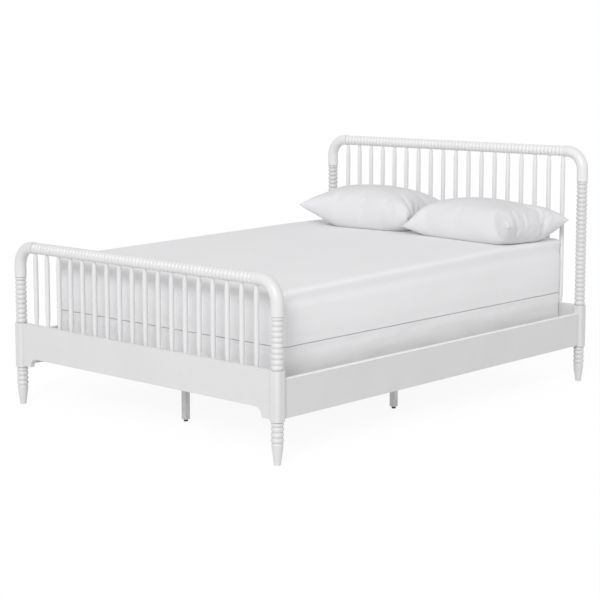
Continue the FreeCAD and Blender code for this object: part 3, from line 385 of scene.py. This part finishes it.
def soft_block(low, high, plan, top, bottom, shape):
    """Closed block of even quads. plan is the radius of its upright corners, and top and bottom are
    the (width, height) of its rounded edges. shape moves each point, from where it is, the outward
    normal of the side beside it, its inset from that side and its depth under the top."""
    mesh = bmesh.new()
    lines = [stations(low.x, high.x, plan, plan, BLOCK_STEP, PLAN_ARC),
             stations(low.y, high.y, plan, plan, BLOCK_STEP, PLAN_ARC),
             stations(low.z, high.z, bottom[1], top[1], BLOCK_RISE, EDGE_ARC)]
    middle, half = (low + high) / 2, (high - low) / 2
    verts = {}

    def place(ijk):
        x, y, z = (lines[a][ijk[a]] - middle[a] for a in range(3))
        inset = min(half.x - abs(x), half.y - abs(y))
        depth = half.z - z
        core = Vector((clamp(x, plan - half.x, half.x - plan),
                       clamp(y, plan - half.y, half.y - plan)))
        out = Vector((x, y)) - core
        for width, height, away, sign in ((*top, depth, 1), (*bottom, 2 * half.z - depth, -1)):
            if inset < width and away < height:
                across, up = 1 - inset / width, 1 - away / height
                length = math.hypot(across, up)
                inset = width * (1 - across / length)
                z = sign * (half.z - height * (1 - up / length))
                break
        if out.length > TINY:
            out = out.normalized() * (plan - inset)
        normal = out.normalized() if out.length > TINY else Vector((0, 0))
        at = Vector((*(core + out), z)) + middle
        return shape(at, Vector((*normal, 0)), inset, depth)

    def vert(ijk):
        if ijk not in verts:
            verts[ijk] = mesh.verts.new(place(ijk))
        return verts[ijk]

    last = [len(line) - 1 for line in lines]
    for axis in range(3):
        u, v = (axis + 1) % 3, (axis + 2) % 3
        for level in (0, last[axis]):
            for i in range(last[u]):
                for j in range(last[v]):
                    quad = []
                    for di, dj in ((0, 0), (1, 0), (1, 1), (0, 1)):
                        ijk = [0, 0, 0]
                        ijk[axis], ijk[u], ijk[v] = level, i + di, j + dj
                        quad.append(vert(tuple(ijk)))
                    mesh.faces.new(quad if level else quad[::-1])
    return mesh


# ---------------------------------------------------------------- mattress and its sheet

MATTRESS_LOW, MATTRESS_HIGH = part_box("mattress")
MATTRESS_HEIGHT = MATTRESS_HIGH.z - MATTRESS_LOW.z
HALF_WIDTH = 0.69                    # of the mattress
SHEET_ROOM = 0.0022                  # kept free inside the mattress's solid for the sheet
SHEET_GAP = 0.0010                   # from the mattress to the middle of the sheet's thickness
SHEET_THICK = 0.0008
SHEET_RETURN = 0.06                  # how far the elastic hem reaches under the mattress

MATTRESS_PLAN = 0.026                # radius of the upright corners
MATTRESS_TOP = 0.026, 0.020          # width and height of the rounded top edge
MATTRESS_BOTTOM = 0.005, 0.0025      # and of the bottom edge

CROWN = 0.0045                       # middle of the top over its sides
LEAN = 0.0055                        # left side over the middle, and that over the right side
FOOT_DROP = 0.026                    # slope of the top, down to the foot end
FOOT_DROP_RIGHT = 0.008              # more of it at the right
DROP_START, DROP_LENGTH = 0.60, 1.45    # y where the slope starts, and its length for a full drop
DROP_MOST = 1.05                     # share of the drop at which it ends
TOP_WAVES = 0.0012                   # height of the top's slight unevenness

SIDE_BAND = 0.05                     # inset over which the top goes over into the sides
SIDE_WAVES = 0.0012                  # and of the sides'
TOP_SHARE = 0.6                      # share of the height that follows the form of the top


def mattress_top(x, y):
    """How far the top stands above its solid's flat one: higher at the left, lower at the foot."""
    crown = CROWN * (1 - (x / HALF_WIDTH) ** 2) - LEAN * x / HALF_WIDTH
    slope = FOOT_DROP + FOOT_DROP_RIGHT * rise(x, -0.2, 0.8)
    foot = slope * clamp((DROP_START - y) / DROP_LENGTH, 0.0, DROP_MOST)
    return crown - foot + TOP_WAVES * wave(x, y, 0, (0.30, 0.42, 1.0), 3.1) - SHEET_ROOM


def mattress_shape(at, normal, inset, depth):
    """Mattress with a sloping, slightly crowned top and sides drawn in near both edges."""
    down = depth / MATTRESS_HEIGHT
    side = near(inset, SIDE_BAND)
    drawn_in = 0.0045 * hump(down, 0.22, 0.18) + 0.003 * hump(down, 0.93, 0.16)
    waves = SIDE_WAVES * wave(at.x, at.y, at.z, (0.35, 0.35, 0.12), 7.7)
    at = at - normal * side * (drawn_in + SHEET_ROOM + waves * hump(down, 0.5, 0.5))
    at.z += mattress_top(at.x, at.y) * ease((TOP_SHARE - down) / TOP_SHARE)
    return at


FAN_HEIGHT, FAN_REACH, FAN_START = 0.0010, 0.34, 0.05    # tension lines on top at each corner
FAN_RATE, FAN_BEND, FAN_BEND_RATE = 17, 1.3, 23          # their spacing, and how they wander
PLEAT_HEIGHT, PLEAT_REACH, PLEAT_RATE = 0.0009, 0.16, 210    # pleats on the sides there
PLEAT_TOP, PLEAT_FADE = 0.64, 0.12   # height where the pleats start, and over which they grow
PLAIN_HEIGHT = 0.0010                # creases elsewhere
HEM_FLAT, HEM_FADE = 0.01, 0.02      # no creases up to this over the underside, all of them past it
FACING_DOWN = -0.9                   # a normal's z, for the sheet's part under the mattress


def sheet_creases(at, normal, low_share):
    """Height of the sheet's creases: tension lines that fan out over the top from each corner,
    pleats low on the sides at the corners, and faint creases elsewhere."""
    distance, side, end = min((Vector((at.x - side * HALF_WIDTH, at.y - end)).length, side, end)
                              for side in (-1, 1) for end in (MATTRESS_LOW.y, MATTRESS_HIGH.y))
    angle = math.atan2(at.y - end, at.x - side * HALF_WIDTH)
    fan = (math.sin(angle * FAN_RATE + FAN_BEND * math.sin(distance * FAN_BEND_RATE))
           * near(distance, FAN_REACH) * ease(distance / FAN_START))
    pleats = math.sin((at.x + at.y) * PLEAT_RATE) * near(distance, PLEAT_REACH)
    upright = 1 - abs(normal.z)
    plain = max(0.0, wave(at.x, at.y, at.z, (0.16, 0.05, 0.07), 11.2)) ** 2
    return (FAN_HEIGHT * max(0.0, fan) * (1 - upright)
            + PLEAT_HEIGHT * max(0.0, pleats) * upright * low_share
            + PLAIN_HEIGHT * plain)


def add_mattress():
    """Padded core in ticking, and the fitted sheet stretched over it."""
    core = soft_block(MATTRESS_LOW + Vector((0, 0, SHEET_ROOM)), MATTRESS_HIGH,
                      MATTRESS_PLAN, MATTRESS_TOP, MATTRESS_BOTTOM, mattress_shape)
    core.normal_update()
    sheet = core.copy()
    piece = new_piece("mattress_core", core, CORE_TICKING, "mattress")
    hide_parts("mattress")

    under = [vert for vert in sheet.verts if vert.normal.z < FACING_DOWN and min(
        HALF_WIDTH - abs(vert.co.x), vert.co.y - MATTRESS_LOW.y,
        MATTRESS_HIGH.y - vert.co.y) > SHEET_RETURN]
    bmesh.ops.delete(sheet, geom=under, context="VERTS")
    moved = {}
    for vert in sheet.verts:
        lift = rise(vert.co.z - MATTRESS_LOW.z, HEM_FLAT, HEM_FADE)
        low_share = ease((PLEAT_TOP - vert.co.z) / PLEAT_FADE)
        reach = SHEET_GAP + lift * sheet_creases(vert.co, vert.normal, low_share)
        moved[vert] = vert.co + vert.normal * reach
    for vert, place in moved.items():
        vert.co = place
    piece = new_piece("fitted_sheet", sheet, SHEET_COTTON, "mattress")
    thicken(piece, SHEET_THICK)


# ---------------------------------------------------------------- box spring

BASE_LOW, BASE_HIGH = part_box("box_spring")
BASE_HEIGHT = BASE_HIGH.z - BASE_LOW.z
BASE_LIFT = 0.0006                   # underside over its solid's, before the whole cover drops
BASE_DROP = 0.0004                   # by this, to stay clear of the mattress
BASE_PLAN = 0.024                    # radius of the upright corners
BASE_TOP = 0.005, 0.0025             # width and height of the rounded top edge
BASE_BOTTOM = 0.012, 0.007           # and of the bottom edge
BASE_BAND = 0.03                     # inset over which the top goes over into the sides
TAPE = 0.010                         # taped edge, where the cover lies flat
COVER_INSET = 0.0055                 # how far the cover lies inside its solid, on average
FOLD_DEPTH = 0.0048                  # level folds of the slack cover
PUCKER_DEPTH = 0.0040                # puckers under the top edge
PUCKER_LEVEL = 0.034                 # depth of their middle, from where they fade both ways
TUCK_DEPTH = 0.0065                  # how far the top edge is drawn in
TUCK_END, TUCK_FADE = 0.036, 0.03    # depth where that ends, and over which it grows
GROOVE_DEPTH = 0.0012                # groove beside the top edge's tape
GROOVE_INSET, GROOVE_REACH = 0.016, 0.007


def box_spring_shape(at, normal, inset, depth):
    """Covered box spring: taped edges, and a cover that lies in slack level folds on its sides."""
    side = near(inset, BASE_BAND)
    panel = rise(depth, TAPE, TAPE) * ease((BASE_HEIGHT - TAPE - depth) / TAPE)
    folds = (0.6 * wave(at.x, at.y, at.z, (0.15, 0.15, 0.040), 5.3)
             + 0.5 * wave(at.x, at.y, at.z, (0.42, 0.42, 0.024), 9.1))
    tuck = TUCK_DEPTH * ease((TUCK_END - depth) / TUCK_FADE)
    pucker = (PUCKER_DEPTH * wave(at.x, at.y, at.z, (0.055, 0.055, 0.060), 2.4)
              * hump(depth, PUCKER_LEVEL, PUCKER_LEVEL))
    at = at - normal * side * (panel * (COVER_INSET - FOLD_DEPTH * folds - pucker) + tuck)
    groove = hump(inset, GROOVE_INSET, GROOVE_REACH) if depth < BASE_HEIGHT / 2 else 0.0
    at.z -= GROOVE_DEPTH * groove + BASE_DROP
    return at


def add_box_spring():
    """Covered box spring."""
    mesh = soft_block(BASE_LOW + Vector((0, 0, BASE_LIFT)), BASE_HIGH,
                      BASE_PLAN, BASE_TOP, BASE_BOTTOM, box_spring_shape)
    piece = new_piece("box_spring_cover", mesh, TICKING, "box_spring")
    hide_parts("box_spring")


# ---------------------------------------------------------------- pillows

PILLOW_WIDTH, PILLOW_DEPTH = 0.69, 0.475    # flat size of the sewn case
PILLOW_STEP = 0.012                  # spacing of the points of a pillow's cloth
PILLOW_SINK = 0.016                  # how far a pillow's underside is pressed flat by its weight
PILLOW_REST = 0.0022                 # from the mattress to a pillow's underside, past the sheet
SEWN_BOW = 0.001                     # least distance of each layer from the seam's plane
START_BOW = 0.012                    # and at the middle, before the case is filled
SEAM_SHARPNESS = 0.75                # from 0 to 1, where smoothing keeps the seam as it is

SIM_FRAMES = 40
START_HEIGHT = 0.075                 # of the seam over the table, before the case is filled
SEAM_HEIGHT, SEAM_BAND = 0.08, 0.01  # of the seam over the table afterwards, and how far it strays
CALM_REACH = 0.285, 0.27, 0.255, 0.24, 0.225, 0.21, 0.195, 0.18    # half width of each pass

SECTION = 0.02                       # width of a slice across a pillow's depth
SEAM_SHARE = 0.42                    # height of the seam, as a share of the pillow's
SECTION_FULLNESS = 0.78              # under 1 makes the upper half of each slice fuller
FACING_UP = 0.3                      # a normal's z, from where creases are pressed in fully

# Creases of each case, in the pillow's own plan: start, end, depth and width.
LEFT_CREASES = (
    ((0.34, -0.17), (0.20, -0.09), 0.010, 0.020), ((0.34, -0.15), (0.25, -0.03), 0.008, 0.016),
    ((0.33, -0.20), (0.17, -0.17), 0.007, 0.016), ((0.34, -0.10), (0.28, 0.03), 0.005, 0.012),
    ((0.34, 0.06), (0.25, 0.04), 0.004, 0.010), ((0.34, 0.11), (0.26, 0.09), 0.004, 0.010),
    ((-0.33, -0.20), (-0.22, -0.13), 0.005, 0.014), ((-0.33, -0.17), (-0.25, -0.08), 0.004, 0.012),
)
RIGHT_CREASES = (
    ((0.33, -0.20), (0.21, -0.15), 0.006, 0.012), ((0.34, -0.17), (0.23, -0.10), 0.006, 0.012),
    ((0.34, -0.13), (0.26, -0.07), 0.005, 0.010), ((0.34, -0.09), (0.25, -0.05), 0.005, 0.010),
    ((0.34, -0.04), (0.26, -0.02), 0.004, 0.009), ((0.34, 0.01), (0.27, 0.02), 0.004, 0.009),
    ((0.34, 0.07), (0.26, 0.07), 0.003, 0.009), ((-0.33, -0.18), (-0.24, -0.12), 0.005, 0.014),
)


def sewn_bag(bow):
    """Two flat layers of cloth sewn together round their edge, bowed apart; bow is by how much,
    from 0 at the seam to 1 at the middle."""
    mesh = bmesh.new()
    nx, ny = round(PILLOW_WIDTH / PILLOW_STEP), round(PILLOW_DEPTH / PILLOW_STEP)
    verts = {}

    def on_seam(i, j):
        return i in (0, nx) or j in (0, ny)

    def key(i, j, layer):
        return (i, j, 0 if on_seam(i, j) else layer)

    for layer in (0, 1):
        for i in range(nx + 1):
            for j in range(ny + 1):
                if key(i, j, layer) not in verts:
                    dome = math.sin(math.pi * i / nx) * math.sin(math.pi * j / ny)
                    z = 0.0 if on_seam(i, j) else (2 * layer - 1) * (SEWN_BOW + bow(dome))
                    verts[key(i, j, layer)] = mesh.verts.new(
                        (PILLOW_WIDTH * (i / nx - 0.5), PILLOW_DEPTH * (j / ny - 0.5), z))
    for layer in (0, 1):
        for i in range(nx):
            for j in range(ny):
                quad = [verts[key(i + di, j + dj, layer)]
                        for di, dj in ((0, 0), (1, 0), (1, 1), (0, 1))]
                mesh.faces.new(quad if layer else quad[::-1])
    return mesh


def sharpen_seam(piece):
    """Mark the edges where a case's two layers meet, so that smoothing keeps them sharp."""
    half = len(piece.data.polygons) / 2
    layers = {}
    for face in piece.data.polygons:
        for edge in face.edge_keys:
            layers.setdefault(edge, set()).add(face.index < half)
    sharp = piece.data.attributes.new("crease_edge", "FLOAT", "EDGE")
    for edge in piece.data.edges:
        sharp.data[edge.index].value = SEAM_SHARPNESS if len(layers[edge.key]) == 2 else 0.0


def fill_case(piece, volume, pressure):
    """Blow the sewn case up to its filling's volume over a flat table, and keep that shape."""
    table = bpy.data.objects.new("table", bpy.data.meshes.new("table"))
    flat = bmesh.new()
    bmesh.ops.create_grid(flat, x_segments=8, y_segments=8, size=0.8)
    flat.to_mesh(table.data)
    flat.free()
    scene.collection.objects.link(table)
    table.modifiers.new("table", "COLLISION")
    table.collision.thickness_outer = 0.002
    table.collision.cloth_friction = 20
    cloth = piece.modifiers.new("cloth", "CLOTH")
    cover = cloth.settings
    cover.quality, cover.mass, cover.air_damping = 6, 0.01, 4.0
    cover.tension_stiffness = cover.compression_stiffness = cover.shear_stiffness = 20.0
    cover.tension_damping = cover.compression_damping = cover.shear_damping = 5.0
    cover.bending_model, cover.bending_stiffness, cover.bending_damping = "ANGULAR", 0.2, 0.5
    cover.use_pressure, cover.use_pressure_volume = True, True
    cover.uniform_pressure_force, cover.target_volume = pressure, volume
    cover.pressure_factor = 3.0
    cover.effector_weights.gravity = 0.6
    cloth.collision_settings.distance_min = 0.003
    cloth.collision_settings.use_self_collision = False
    cloth.point_cache.frame_start, cloth.point_cache.frame_end = 1, SIM_FRAMES
    piece.location = (0, 0, START_HEIGHT)
    for frame_number in range(1, SIM_FRAMES + 1):
        scene.frame_set(frame_number)
    apply_modifiers(piece)
    scene.frame_set(1)
    piece.location = (0, 0, 0)
    bpy.data.objects.remove(table)


def calm_middle(piece):
    """Smooth a case's middle, where the filling draws it tight; its ends keep their creases."""
    mesh = bmesh.new()
    mesh.from_mesh(piece.data)
    for limit in CALM_REACH:
        middle = [vert for vert in mesh.verts
                  if abs(vert.co.x) < limit and abs(vert.co.z - SEAM_HEIGHT) > SEAM_BAND]
        bmesh.ops.smooth_vert(mesh, verts=middle, factor=0.5,
                              use_axis_x=True, use_axis_y=True, use_axis_z=True)
    mesh.to_mesh(piece.data)
    mesh.free()


def press(point, creases):
    """How deep the creases are at a point seen from above; each fades from its start to its end."""
    depth = 0.0
    here = Vector(point[:2])
    for start, end, deep, width in creases:
        start, end = Vector(start), Vector(end)
        run = end - start
        share = clamp((here - start).dot(run) / run.length_squared, 0.0, 1.0)
        away = (here - start - run * share).length
        depth += deep * near(away, width) * (1 - share) ** 0.5
    return depth


def left_form(point):
    """Left pillow: left end thin and lifted, right front corner pushed back by its neighbour."""
    seam, thinner, lift = 0.11, 0.28, 0.018
    back, inward = 0.030, 0.004
    end = rise(-point.x, 0.12, 0.20)
    push = rise(point.x, 0.22, 0.11) * rise(-point.y, 0.04, 0.16)
    return Vector((point.x - inward * push,
                   point.y + back * push,
                   seam + (point.z - seam) * (1 - thinner * end) + lift * end))


def right_form(point):
    """Right pillow: a little wider, the tip of its left end drawn down, its right end lifted."""
    wider, lower, lift = 1.02, 0.36, 0.030
    x = point.x * wider
    tip = rise(-x, 0.24, 0.10) * rise(-point.y, 0.08, 0.12)
    return Vector((x, point.y, point.z * (1 - lower * tip) + lift * rise(x, 0.16, 0.17)))


def box_out(points, height):
    """Fuller front and back: lift the upper half of each section across the pillow's depth."""
    tops = {}
    for point in points:
        column = round(point.x / SECTION)
        tops[column] = max(tops.get(column, 0.0), point.z)
    seam = SEAM_SHARE * height
    for point in points:
        spot = point.x / SECTION
        left = math.floor(spot)
        near = tops.get(left, tops[round(spot)])
        top = near + (tops.get(left + 1, near) - near) * (spot - left)
        if seam < point.z < top:
            share = (point.z - seam) / (top - seam)
            point.z = seam + (top - seam) * share ** SECTION_FULLNESS


def lay_pillow(piece, height, yaw, place, creases, form):
    """Bring a filled case to its height and form, press its creases in and lay it in place."""
    verts = piece.data.vertices
    low, high = (Vector(pick(vert.co[a] for vert in verts) for a in range(3))
                 for pick in (min, max))
    middle = Vector(((low.x + high.x) / 2, (low.y + high.y) / 2, low.z))
    turn = Matrix.Rotation(math.radians(yaw), 3, "Z")
    normals = [Vector(vert.normal) for vert in verts]
    points = [vert.co - middle for vert in verts]
    for point in points:
        point.z *= (height + PILLOW_SINK) / (high.z - low.z)
    box_out(points, height + PILLOW_SINK)
    for vert, normal, point in zip(verts, normals, points):
        if normal.z > 0:
            point -= normal * press(point, creases) * ease(normal.z / FACING_UP)
        laid = turn @ form(point) + Vector(place)
        ground = MATTRESS_HIGH.z + mattress_top(laid.x, laid.y) + PILLOW_REST
        laid.z = max(laid.z - PILLOW_SINK, 0.0) + ground
        vert.co = laid
    piece.data.shade_smooth()


def add_pillow(side, volume, pressure, height, yaw, place, creases, form):
    """A pillow: sewn case filled by simulation, its seam kept sharp, then laid on the mattress."""
    name = f"pillow_{side}"
    mesh = sewn_bag(lambda dome: START_BOW * dome)
    piece = new_piece(f"{name}_filled", mesh, PILLOW_COTTON, name)
    sharpen_seam(piece)
    fill_case(piece, volume, pressure)
    calm_middle(piece)
    smooth = piece.modifiers.new("smooth", "SUBSURF")
    smooth.levels = smooth.render_levels = 1
    apply_modifiers(piece)
    lay_pillow(piece, height, yaw, place, creases, form)
    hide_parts(name)


def add_pillows():
    """The two pillows, each with its filling, height, turn and place."""
    add_pillow("left", volume=0.036, pressure=1.0, height=0.206, yaw=5.0,
               place=(-0.248, 0.774, 0.0), creases=LEFT_CREASES, form=left_form)
    add_pillow("right", volume=0.042, pressure=0.3, height=0.187, yaw=-4.0,
               place=(0.415, 0.776, 0.0), creases=RIGHT_CREASES, form=right_form)


# ---------------------------------------------------------------- stage

FLOOR_HALF = 15                      # half the floor's side
FLOOR_NEAR, FLOOR_FAR = 1.7, 3.4     # distances between which it goes over into the background
FLOOR_SHARE = 0.88                   # share of the floor near the bed that is seen as plain white
FLOOR_GLOW = 1.045                   # brightness of that white; the background's is 1
SKY_LIGHT = 0.60                     # brightness of the surroundings as light on the bed
KEY_AZIMUTH, KEY_ELEVATION = math.radians(31), math.radians(29)
KEY_TARGET = Vector((0, 0, 0.5))
KEY_DISTANCE, KEY_SIZE, KEY_POWER = 20.0, 6.2, 1880


def white_seen(tree):
    """1 for what the camera, a reflection or a clear material sees of a surface, 0 for its light
    on other things."""
    path = tree.nodes.new("ShaderNodeLightPath")
    either = path.outputs["Is Camera Ray"]
    for name in ("Is Glossy Ray", "Is Transmission Ray"):
        top = tree.nodes.new("ShaderNodeMath")
        top.operation = "MAXIMUM"
        tree.links.new(either, top.inputs[0])
        tree.links.new(path.outputs[name], top.inputs[1])
        either = top.outputs[0]
    return either


def floor_material():
    """Pale floor near the bed, with its shadow, that goes over into the white background."""
    n = Nodes("floor_white")
    n.finish(n.ramp(n.cloud(2.0), grey(0.84), grey(0.86)), 0.9)
    away = n.add("ShaderNodeVectorMath", operation="LENGTH")
    n.join(n.place, away.inputs[0])
    fade = n.add("ShaderNodeMapRange", interpolation_type="SMOOTHSTEP")
    fade.inputs["From Min"].default_value = FLOOR_NEAR
    fade.inputs["From Max"].default_value = FLOOR_FAR
    n.join(away.outputs["Value"], fade.inputs["Value"])
    glow = n.add("ShaderNodeEmission", Color=grey(1.0))
    n.join(n.range(fade.outputs["Result"], FLOOR_GLOW, 1.0), glow.inputs["Strength"])
    share = n.add("ShaderNodeMath", operation="MULTIPLY")
    n.join(white_seen(n.tree), share.inputs[0])
    n.join(n.range(fade.outputs["Result"], FLOOR_SHARE, 1.0), share.inputs[1])
    blend = n.add("ShaderNodeMixShader")
    n.join(share.outputs[0], blend.inputs[0])
    n.join(n.shader.outputs[0], blend.inputs[1])
    n.join(glow.outputs[0], blend.inputs[2])
    n.join(blend.outputs[0], n.tree.nodes["Material Output"].inputs["Surface"])
    return n.material


def add_floor():
    """Plain floor under the bed."""
    mesh = bmesh.new()
    bmesh.ops.create_grid(mesh, x_segments=4, y_segments=4, size=FLOOR_HALF)
    data = bpy.data.meshes.new("floor")
    mesh.to_mesh(data)
    mesh.free()
    floor = link_object("floor", data)
    floor.data.materials.append(floor_material())


def add_world():
    """Soft white surroundings: plain light on the bed, pure white behind it and in its gloss."""
    world = bpy.data.worlds.new("studio")
    scene.world = world
    world.use_nodes = True
    tree = world.node_tree
    tree.nodes.clear()
    mix = tree.nodes.new("ShaderNodeMixShader")
    out = tree.nodes.new("ShaderNodeOutputWorld")
    tree.links.new(white_seen(tree), mix.inputs[0])
    for socket, strength in ((mix.inputs[1], SKY_LIGHT), (mix.inputs[2], 1.0)):
        shade = tree.nodes.new("ShaderNodeBackground")
        shade.inputs["Color"].default_value = grey(1.0)
        shade.inputs["Strength"].default_value = strength
        tree.links.new(shade.outputs[0], socket)
    tree.links.new(mix.outputs[0], out.inputs[0])


def add_key_light():
    """Round soft box to the right of the foot end; the surroundings do the rest."""
    lamp = link_object("key", bpy.data.lights.new("key", "AREA"))
    aim(lamp, KEY_TARGET, KEY_AZIMUTH, KEY_ELEVATION, KEY_DISTANCE)
    lamp.data.shape, lamp.data.size, lamp.data.energy = "DISK", KEY_SIZE, KEY_POWER


# ---------------------------------------------------------------- the scene

add_camera()
scene.view_settings.view_transform = "Standard"
dress_nodes()
add_mattress()
add_box_spring()
add_pillows()
add_floor()
add_world()
add_key_light()
